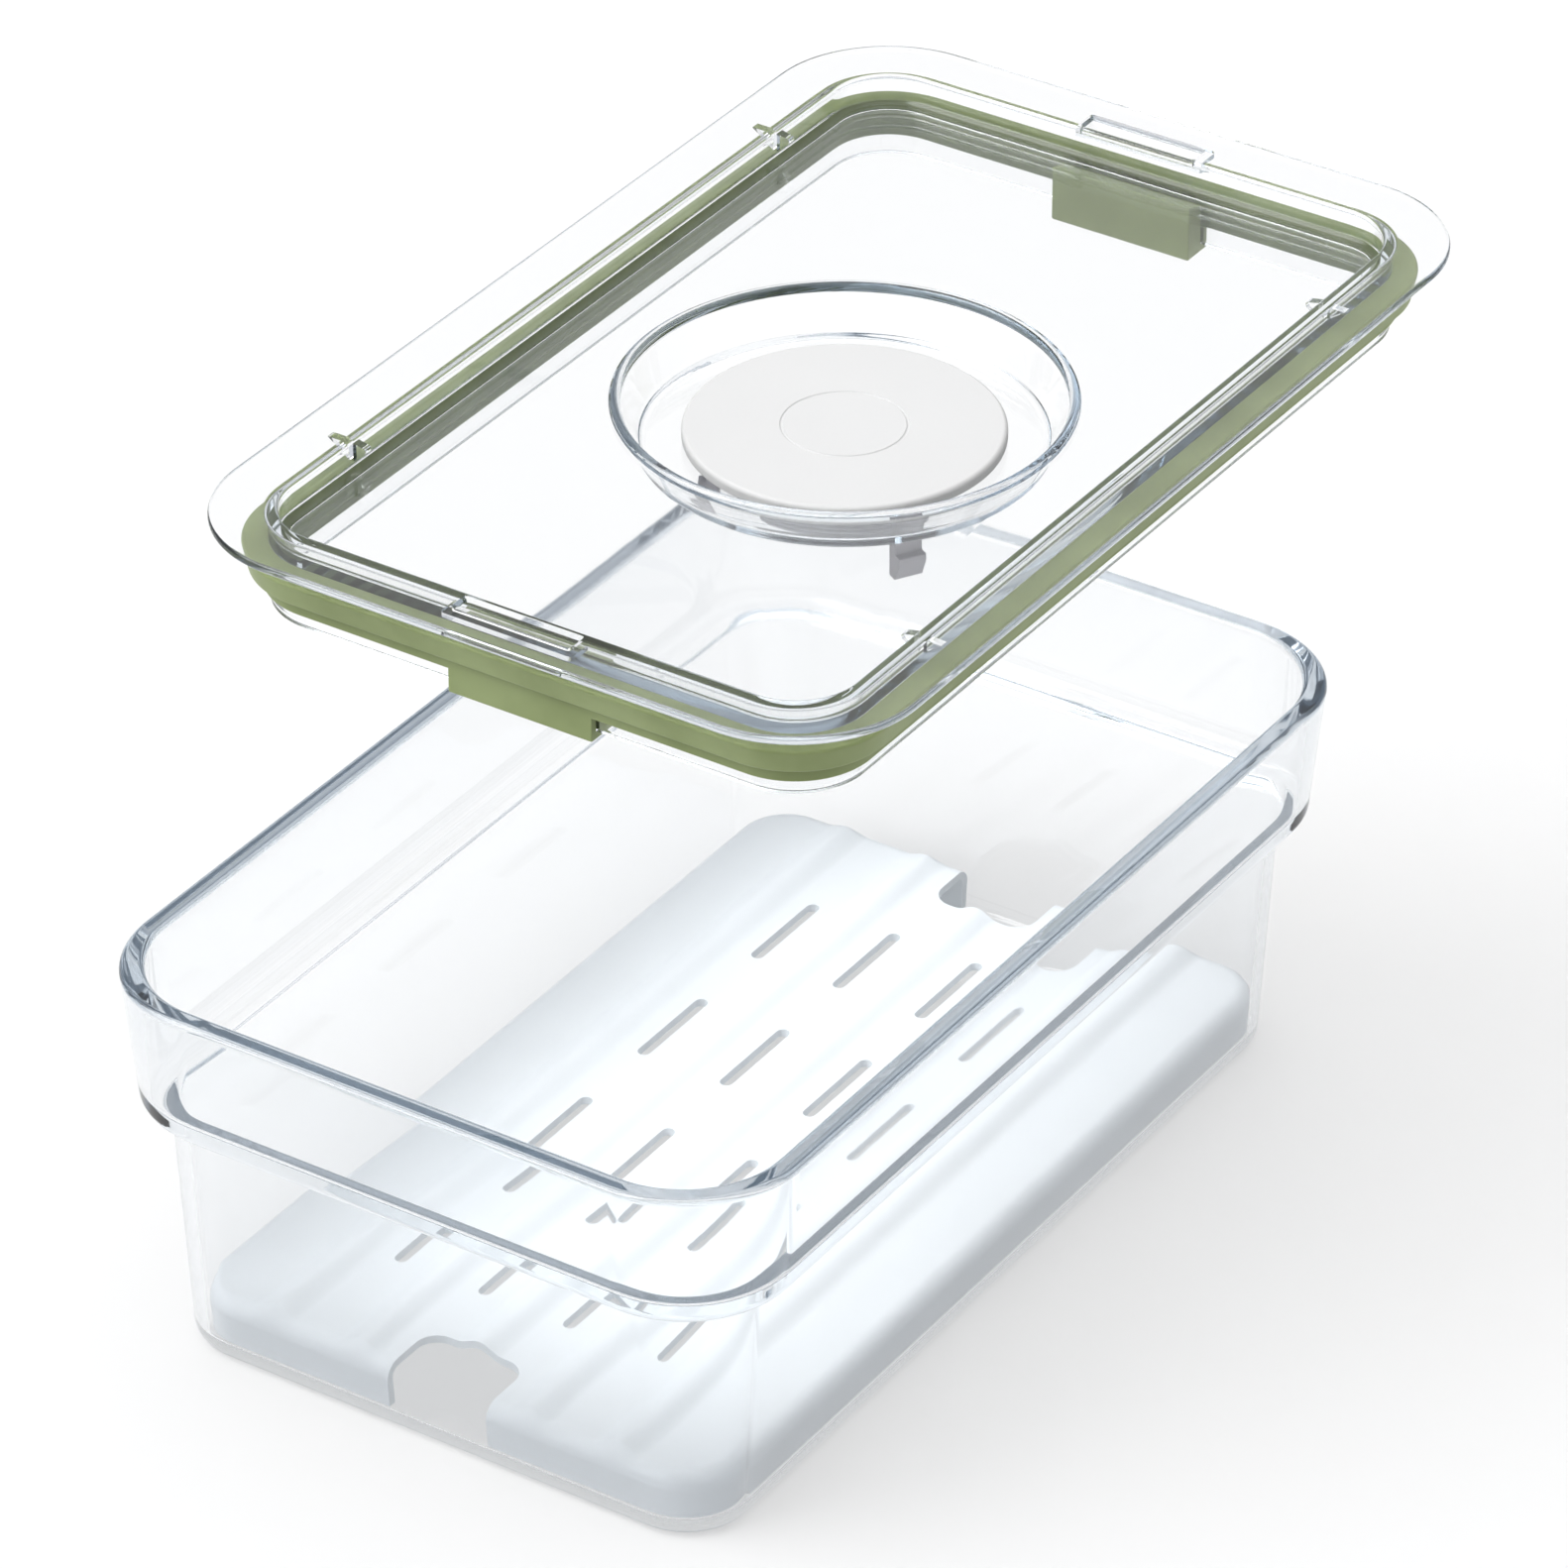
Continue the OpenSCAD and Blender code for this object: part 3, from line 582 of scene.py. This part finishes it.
class FRIDGEBIN_OT_lid(bpy.types.Operator):
    """Builds the clear lid: flange with pockets, cove, panel, plug wall and dish"""
    bl_idname = "fridge_bin.build_lid"
    bl_label = "Lid"

    EDGE_ROUND = 0.6           # the flange's edges and the recess's upper edge
    FLANGE_COVE = 0.8          # between the flange's underside and the plug
    PLUG_ROUND = 0.5           # the plug's lower edge
    PANEL_COVE = 1.0           # between the plug and the panel's underside
    BEAD_H = 0.5               # the bead round the dish, above the panel
    BORE_ROUND = 0.3
    DISH_ROUND = 1.5           # inside the dish's foot
    FOOT_ROUND = 1.8           # outside the dish's foot
    SLOT_IN = 1.5              # a leg's slot, inwards from the leg's middle
    SLOT_OUT = 1.45            # and outwards
    POCKET_T = 1.1             # the pocket's floor and walls
    POCKET_IN = 0.6            # from the rim's wall to the pocket's shell
    FIN_FOOT_Z = -3.8
    FIN_IN = 2.4               # how far a fin stands into the recess

    def plate(self, bm, s):
        """The lid round its edge: recess, flange and plug. Returns the panel's two open rings."""
        edge, cove, foot, under = self.EDGE_ROUND, self.FLANGE_COVE, self.PLUG_ROUND, self.PANEL_COVE
        inner_x = s.plug_x + s.plug_t
        profile = (
            [(s.middle, -s.recess_d)]
            + arc(s.flange_w + s.cove_r, s.cove_r - s.recess_d, s.cove_r, 270, 180, 12)
            + arc(s.flange_w - edge, -edge, edge, 0, 90, 5)
            + arc(edge, -edge, edge, 90, 180, 5)
            + arc(edge, edge - s.flange_t, edge, 180, 270, 5)
            + arc(s.plug_x - cove, -s.flange_t - cove, cove, 90, 0, 5)
            + arc(s.plug_x + foot, foot - s.plug_d, foot, 180, 270, 5)
            + arc(inner_x - foot, foot - s.plug_d, foot, 270, 360, 5)
            + arc(inner_x + under, s.under_z - under, under, 180, 90, 6)
            + [(s.middle, s.under_z)])
        rings = sweep(bm, profile, s.rim_w, s.rim_l, s.rim_r)
        return rings[0], rings[-1]

    def dish(self, bm, s, panel_top, panel_under):
        """The dish, with its bore and a slot for each leg, joined to the panel's two rings."""
        drop = s.dish_d - DISH_FLOOR_T - s.recess_d - s.panel_t
        slope = (s.dish_r - s.dish_foot_r) / drop
        bead_r = s.dish_t / 2
        bead_z = self.BEAD_H - s.recess_d - bead_r
        inner_foot = s.dish_foot_r - s.dish_t
        bend, foot = self.DISH_ROUND, self.FOOT_ROUND
        upper = revolve(bm, (
            [(s.dish_r + 0.4, -s.recess_d), (s.dish_r + 0.1, 0.1 - s.recess_d)]
            + arc(s.dish_r - bead_r, bead_z, bead_r, 20, 180, 10)
            + [(s.dish_r - s.dish_t, s.under_z)]
            + arc(inner_foot - bend + bend * slope, s.dish_floor_z + bend, bend, 0, -90, 8)))
        lower = revolve(bm, (
            arc(s.dish_foot_r - foot, s.dish_floor_z, foot, 270, 360, 8) + [(s.dish_r, s.under_z)]))
        hole, edge = s.stem_r + RUN_GAP, self.BORE_ROUND
        bore = revolve(bm, [(hole + edge, s.dish_floor_z), (hole, s.dish_floor_z - edge),
                            (hole, edge - s.dish_d), (hole + edge, -s.dish_d)])
        low_r, high_r, half = s.leg_r - self.SLOT_IN, s.leg_r + self.SLOT_OUT, s.leg_w / 2 + RUN_GAP
        outline = rounded([(low_r, -half), (high_r, -half), (high_r, half), (low_r, half)], 0.5, 4)
        slots = [], []
        for angle in LEG_ANGLES:
            pair = [[bm.verts.new(turned(angle) @ Vector((x, y, z))) for x, y in outline]
                    for z in (s.dish_floor_z, -s.dish_d)]
            join_rings(bm, pair)
            for found, ring in zip(slots, pair):
                found.append(ring)
        fill(bm, panel_top, upper[0])
        fill(bm, panel_under, lower[-1])
        fill(bm, upper[-1], bore[0], *slots[0])
        fill(bm, lower[0], bore[-1], *slots[1])

    def pocket(self, extra, cut, s, angle):
        """The shallow pocket in one end of the flange, and the shell that holds it under the flange."""
        wall, half, end = self.POCKET_T, s.pocket_w / 2, s.rim_l / 2
        start = s.rim_wall + self.POCKET_IN
        shell = rounded([(-half - wall, end - s.plug_x - 0.5), (half + wall, end - s.plug_x - 0.5),
                         (half + wall, end - start), (-half - wall, end - start)], 0.8, 4)
        prism(extra, shell, -s.pocket_d - wall, -0.7, turned(angle))
        hollow = rounded([(-half, end - s.flange_w + 0.7), (half, end - s.flange_w + 0.7),
                          (half, end - start - wall), (-half, end - start - wall)], 0.9, 4)
        prism(cut, hollow, -s.pocket_d, 1, turned(angle))

    def fin(self, extra, s, angle, y):
        """A small fin from under the flange through the recess's wall."""
        wall_t, foot, into = s.flange_w - s.plug_x, self.FIN_FOOT_Z, -self.FIN_IN
        reach = s.flange_w - s.rim_wall - self.POCKET_IN - 1.2
        outline = rounded([(0, -0.4), (into, -0.9), (into, -1.7), (0, foot), (wall_t, foot),
                           (reach, -s.flange_t), (reach, -1)], 0.35, 3)
        place = (turned(angle) @ Matrix.Translation((s.rim_w / 2 - s.flange_w, y, 0))
                 @ Matrix.Rotation(math.radians(90), 4, "X"))
        prism(extra, outline, -s.fin_t / 2, s.fin_t / 2, place)

    def execute(self, context):
        s, c = in_mm(context.scene.fridge_bin_sizes), context.scene.fridge_bin_colours
        bm, extra, cut = bmesh.new(), bmesh.new(), bmesh.new()
        panel_top, panel_under = self.plate(bm, s)
        self.dish(bm, s, panel_top, panel_under)
        obj = to_object("lid_clear", bm)
        for angle in ENDS:
            self.pocket(extra, cut, s, angle)
            for y in (-s.fin_y, s.fin_y):
                self.fin(extra, s, angle, y)
        apply_boolean(obj, "UNION", extra)
        apply_boolean(obj, "DIFFERENCE", cut)
        material = clear_styrene("Clear SAN, moulded, lid", c, c.clear)
        finish_piece(obj, "lid", "lid", material, lid_place())
        return {"FINISHED"}


# ---- Gasket


class FRIDGEBIN_OT_gasket(bpy.types.Operator):
    """Builds the green gasket: band, sealing lip and the clip at each end"""
    bl_idname = "fridge_bin.build_gasket"
    bl_label = "Gasket"

    CLIP_T = 1.3               # thickness of a clip under the plug's edge
    CLIP_IN = 4                # how far a clip reaches in past the plug's wall

    def execute(self, context):
        s, c = in_mm(context.scene.fridge_bin_sizes), context.scene.fridge_bin_colours
        back, face, lip = s.band_x, s.band_x - s.band_t, s.lip_x
        band = rounded([
            (back, -s.lip_d), (back, -s.gasket_d), (face, -s.gasket_d), (face + 0.1, -s.lip_d - 1.7),
            (lip + 1.4, -s.lip_d - 1.5), (lip + 2, -s.gasket_d + 3.2), (lip + 1.6, -s.gasket_d + 3),
            (lip + 0.9, -s.gasket_d + 3.2), (lip, -s.lip_d - 0.4), (lip + 0.2, -s.lip_d)], 0.35)
        bm = bmesh.new()
        sweep(bm, band, s.rim_w, s.rim_l, s.rim_r, closed=True)
        obj = to_object("gasket_band", bm)
        foot, wall_in = -s.plug_d - self.CLIP_T, s.plug_x + s.plug_t + FIT_GAP
        inner = s.plug_x + s.plug_t + self.CLIP_IN
        clip = rounded([
            (face, 1 - s.gasket_d), (back, 1 - s.gasket_d), (back, -s.plug_d - FIT_GAP),
            (wall_in, -s.plug_d - FIT_GAP), (wall_in, s.under_z - 1.3), (inner, s.under_z - 0.2),
            (inner, foot), (face, foot)], 0.4)
        clips = bmesh.new()
        for angle in ENDS:
            # the clip's outline has insets along -Y and heights along Z
            stand = Matrix(((0, 0, 1, 0), (-1, 0, 0, s.rim_l / 2), (0, 1, 0, 0), (0, 0, 0, 1)))
            place = turned(angle) @ stand
            prism(clips, clip, -s.clip_w / 2, s.clip_w / 2, place)
        sides = [e for e in clips.edges
                 if abs(abs((e.verts[0].co.x + e.verts[1].co.x) / 2) - s.clip_w / 2) < 0.01]
        bmesh.ops.bevel(clips, geom=sides, offset=0.25, segments=2, profile=0.5, affect="EDGES")
        apply_boolean(obj, "UNION", clips)
        finish_piece(obj, "gasket", "lid",
                     moulded_silicone("Green silicone, moulded", c.gasket, c.gasket_dark), lid_place())
        return {"FINISHED"}


# ---- Vent


class FRIDGEBIN_OT_vent(bpy.types.Operator):
    """Builds the vent: cap with its ring, stem with three hooked legs, and ringed sealing sleeve"""
    bl_idname = "fridge_bin.build_vent"
    bl_label = "Vent"

    AXIS_R = 0.5               # a turned profile ends here, and a small flat face closes it
    CAP_EDGE = 1.9             # width of the cap's thick edge
    CAP_RECESS = 0.9           # depth of the recess for the stem's plate
    GROOVE_R = 10.3            # plain ring in the cap's top
    HUB_T = 1.8
    LEG_T = 2.0
    HOOK_OUT = 1.5             # how far a leg's hook stands out
    LEG_PAST = 2.4             # how far a leg reaches below the hub
    RING_COUNT = 4
    WINDOW_HALF = 3.5          # half the width of an air window

    def cap(self, s):
        groove, edge, recess_z = self.GROOVE_R, s.cap_r - self.CAP_EDGE, s.cap_foot_z + self.CAP_RECESS
        bm = bmesh.new()
        rings = revolve(bm, (
            [(self.AXIS_R, recess_z), (edge, recess_z), (edge, s.cap_foot_z)]
            + arc(s.cap_r - 0.4, s.cap_foot_z + 0.4, 0.4, 270, 360, 4)
            + arc(s.cap_r - 0.8, s.cap_top_z - 0.8, 0.8, 0, 90, 6)
            + [(groove + 0.5, s.cap_top_z)]
            + arc(groove, s.cap_top_z + 0.1, 0.3, 340, 200, 6)
            + [(groove - 0.5, s.cap_top_z), (self.AXIS_R, s.cap_top_z)]))
        bm.faces.new(rings[0])
        bm.faces.new(rings[-1])
        return to_object("vent_cap_disc", bm)

    def stem(self, s):
        plate_z = s.cap_foot_z + self.CAP_RECESS - FIT_GAP
        plate_r = s.cap_r - self.CAP_EDGE - FIT_GAP
        roof_z, bore_r = s.cap_foot_z - 0.05, s.hub_r - self.HUB_T
        bm = bmesh.new()
        rings = revolve(bm, (
            [(self.AXIS_R, roof_z), (bore_r - 0.6, roof_z), (bore_r, s.cap_foot_z - 0.6),
             (bore_r, STEM_FOOT_Z + 0.3), (bore_r + 0.3, STEM_FOOT_Z)]
            + arc(s.hub_r - 0.5, STEM_FOOT_Z + 0.5, 0.5, 270, 360, 4)
            + [(s.hub_r, s.cap_foot_z), (plate_r, s.cap_foot_z), (plate_r, plate_z),
               (self.AXIS_R, plate_z)]))
        bm.faces.new(rings[0])
        bm.faces.new(rings[-1])
        obj = to_object("vent_stem_hub", bm)
        legs, windows = bmesh.new(), bmesh.new()
        hook_z, foot_z = -s.dish_d - s.vent_lift - REST_GAP, STEM_FOOT_Z - self.LEG_PAST
        back, tip, root_z = self.LEG_T, self.LEG_T + self.HOOK_OUT, s.cap_foot_z + 0.2
        leg = rounded([(0, root_z), (0, foot_z), (back, foot_z), (tip, hook_z - 1.2), (tip, hook_z),
                       (back, hook_z), (back, root_z)], 0.3)
        for angle in LEG_ANGLES:
            place = (turned(angle) @ Matrix.Translation((s.leg_r - self.LEG_T / 2, 0, 0))
                     @ Matrix.Rotation(math.radians(90), 4, "X"))
            prism(legs, leg, -s.leg_w / 2, s.leg_w / 2, place)
            box(windows, 5, s.stem_r, -self.WINDOW_HALF, self.WINDOW_HALF,
                s.cap_foot_z - 5, s.cap_foot_z - 1, turned(angle + 60))
        apply_boolean(obj, "UNION", legs)
        apply_boolean(obj, "DIFFERENCE", windows)
        return obj

    def seal(self, s):
        low, high = STEM_FOOT_Z, s.cap_foot_z - 5.6      # up to just under the air windows
        inner, outer = s.hub_r + FIT_GAP, s.hub_r + FIT_GAP + SLEEVE_T
        pitch = (high - low) / self.RING_COUNT
        rings = []
        for i in range(self.RING_COUNT):
            z = low + i * pitch
            rings += [(outer, z + 0.05)] + arc(outer, z + pitch * 0.4, RING_OUT, -70, 75, 8)
        bm = bmesh.new()
        revolve(bm, [(inner, high), (inner, low)] + rings + [(outer, high)], closed=True)
        return to_object("vent_seal_sleeve", bm)

    def execute(self, context):
        s, c = in_mm(context.scene.fridge_bin_sizes), context.scene.fridge_bin_colours
        at = lid_place()
        finish_piece(self.cap(s), "vent_cap", "vent",
                     moulded_polypropylene("Off-white polypropylene, moulded", c.cap, 0), at)
        finish_piece(self.stem(s), "vent_stem", "vent",
                     moulded_polypropylene("Pale grey polypropylene, moulded", c.stem, 0.45), at)
        finish_piece(self.seal(s), "vent_seal", "vent",
                     moulded_silicone("Pale grey silicone, moulded", c.seal, [v * 0.9 for v in c.seal]), at)
        return {"FINISHED"}


# ---- Stage


class FRIDGEBIN_OT_stage(bpy.types.Operator):
    """Lays the pale floor and sets the studio light and the camera"""
    bl_idname = "fridge_bin.set_stage"
    bl_label = "Stage"

    AZIMUTH, ELEVATION = 33.19, 32.775            # degrees
    DISTANCE, ACROSS, UP = 1.4886, 0.00765, 0.0671          # metres from the frame's origin
    LENS, SENSOR = 199.7, 36                      # millimetres
    KEY = (-0.55, -0.55, 0.75)                    # from the front left and above
    FLOOR_HALF = 12000                            # millimetres
    BOUNCES = 32                                  # light runs a long way inside clear walls

    def camera(self, scene):
        az, el = math.radians(self.AZIMUTH), math.radians(self.ELEVATION)
        back = Vector((math.sin(az) * math.cos(el), -math.cos(az) * math.cos(el), math.sin(el)))
        right = Vector((math.cos(az), math.sin(az), 0))
        up = back.cross(right)
        data = bpy.data.cameras.new("Camera")
        data.lens, data.sensor_width, data.clip_end = self.LENS, self.SENSOR, 60
        obj = bpy.data.objects.new("Camera", data)
        at = back * self.DISTANCE + right * self.ACROSS + up * self.UP
        obj.matrix_world = Matrix.Translation(at) @ Matrix((right, up, back)).transposed().to_4x4()
        scene.collection.objects.link(obj)
        scene.camera = obj

    def area(self, scene, name, at, size, power, target=(0, 0, 0.07)):
        data = bpy.data.lights.new(name, "AREA")
        data.shape, data.size, data.size_y, data.energy = "RECTANGLE", size[0], size[1], power
        obj = bpy.data.objects.new(name, data)
        at = Vector(at)
        aim = (at - Vector(target)).to_track_quat("Z", "Y").to_matrix().to_4x4()
        obj.matrix_world = Matrix.Translation(at) @ aim
        scene.collection.objects.link(obj)

    def sky(self, scene):
        """A soft tent: bright overhead, greyer round the horizon, so that clear edges show."""
        world = bpy.data.worlds.new("Soft tent")
        scene.world = world
        world.use_nodes = True
        tree = world.node_tree
        tree.nodes.clear()
        place = add(tree, "ShaderNodeTexCoord").outputs["Generated"]
        height = add(tree, "ShaderNodeSeparateXYZ", links={"Vector": place}).outputs["Z"]
        ramp = add(tree, "ShaderNodeValToRGB", links={"Fac": height})
        stops = ramp.color_ramp.elements
        stops[0].position, stops[0].color = 0.0, (0.62, 0.65, 0.70, 1)
        stops[1].position, stops[1].color = 0.9, (1.4, 1.4, 1.4, 1)
        stops.new(0.55).color = (0.86, 0.86, 0.86, 1)
        stops.new(0.2).color = (0.50, 0.53, 0.58, 1)
        aim = add(tree, "ShaderNodeVectorMath", {"operation": "DOT_PRODUCT"}, {0: place})
        aim.inputs[1].default_value = Vector(self.KEY).normalized()
        patch = add(tree, "ShaderNodeMapRange", {
            "interpolation_type": "SMOOTHSTEP", "From Min": 0.86, "From Max": 0.97, "To Max": 5.0,
        }, {"Value": aim.outputs["Value"]})
        strength = add(tree, "ShaderNodeMath", {"operation": "ADD", 1: 1.0}, {0: patch.outputs["Result"]})
        light = add(tree, "ShaderNodeBackground", links={
            "Color": ramp.outputs["Color"], "Strength": strength.outputs["Value"]})
        add(tree, "ShaderNodeOutputWorld", links={"Surface": light.outputs["Background"]})

    def execute(self, context):
        scene = context.scene
        bm = bmesh.new()
        bmesh.ops.create_grid(bm, x_segments=8, y_segments=8, size=self.FLOOR_HALF)
        floor = to_object("floor", bm)
        floor.data.materials.append(acrylic_light_table(scene.fridge_bin_colours.floor))
        self.sky(scene)
        self.area(scene, "Overhead softbox", (-0.2, 0.25, 1.9), (1.8, 1.8), 8)
        scene.view_settings.view_transform = "Standard"
        scene.cycles.use_denoising = True
        scene.cycles.max_bounces = self.BOUNCES
        scene.cycles.transmission_bounces = self.BOUNCES
        scene.cycles.glossy_bounces = self.BOUNCES
        self.camera(scene)
        return {"FINISHED"}


class FRIDGEBIN_PT_panel(bpy.types.Panel):
    """Lists the pieces of the fridge bin and the sizes behind them"""
    bl_label = "Fridge Bin"
    bl_idname = "FRIDGEBIN_PT_panel"
    bl_space_type = "VIEW_3D"
    bl_region_type = "UI"
    bl_category = "Fridge Bin"

    def draw(self, context):
        for operator in OPERATORS:
            self.layout.operator(operator.bl_idname)
        for group, names in ((context.scene.fridge_bin_sizes, FridgeBinSizes.__annotations__),
                             (context.scene.fridge_bin_colours, FridgeBinColours.__annotations__)):
            column = self.layout.column()
            for name in names:
                column.prop(group, name)


OPERATORS = (FRIDGEBIN_OT_bin, FRIDGEBIN_OT_tray, FRIDGEBIN_OT_lid, FRIDGEBIN_OT_gasket,
             FRIDGEBIN_OT_vent, FRIDGEBIN_OT_stage)
CLASSES = (FridgeBinSizes, FridgeBinColours, *OPERATORS, FRIDGEBIN_PT_panel)


def register():
    for cls in CLASSES:
        bpy.utils.register_class(cls)
    bpy.types.Scene.fridge_bin_sizes = bpy.props.PointerProperty(type=FridgeBinSizes)
    bpy.types.Scene.fridge_bin_colours = bpy.props.PointerProperty(type=FridgeBinColours)


def unregister():
    del bpy.types.Scene.fridge_bin_sizes
    del bpy.types.Scene.fridge_bin_colours
    for cls in reversed(CLASSES):
        bpy.utils.unregister_class(cls)


def main():
    register()
    bpy.ops.fridge_bin.build_bin()
    bpy.ops.fridge_bin.build_tray()
    bpy.ops.fridge_bin.build_lid()
    bpy.ops.fridge_bin.build_gasket()
    bpy.ops.fridge_bin.build_vent()
    bpy.ops.fridge_bin.set_stage()


if __name__ == "__main__":
    main()
